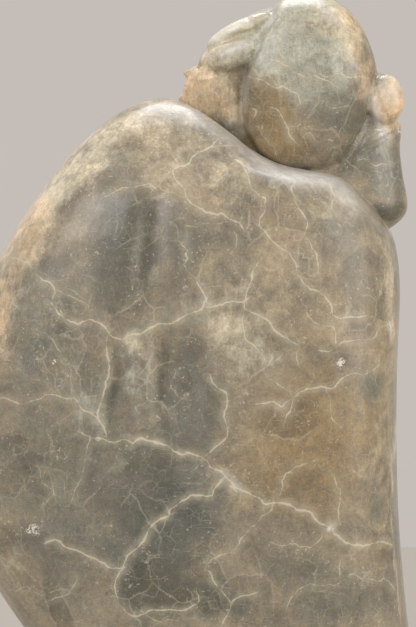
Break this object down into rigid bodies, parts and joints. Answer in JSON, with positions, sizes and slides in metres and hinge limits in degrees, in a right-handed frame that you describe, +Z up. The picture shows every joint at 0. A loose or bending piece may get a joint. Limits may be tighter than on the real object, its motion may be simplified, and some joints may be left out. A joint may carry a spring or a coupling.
{
  "type": "alabaster woman sculpture",
  "caption": "Tabletop carving of a seated woman wrapped in a blanket, her hair bound in a knot at the nape, in veined honey and grey alabaster on a low stone plinth.",
  "frame": {"origin": "centre of the plinth's underside, where the sculpture stands", "axes": "+Z up along the figure; she faces -X, and -Y is her left side, the one the picture shows"},
  "size_m": [0.2303, 0.131, 0.3623],
  "materials": {
    "alabaster": "satin",
    "plinth_stone": "matte"
  },
  "bodies": {
    "root": {"woman": "alabaster", "plinth": "plinth_stone"}
  },
  "joints": []
}
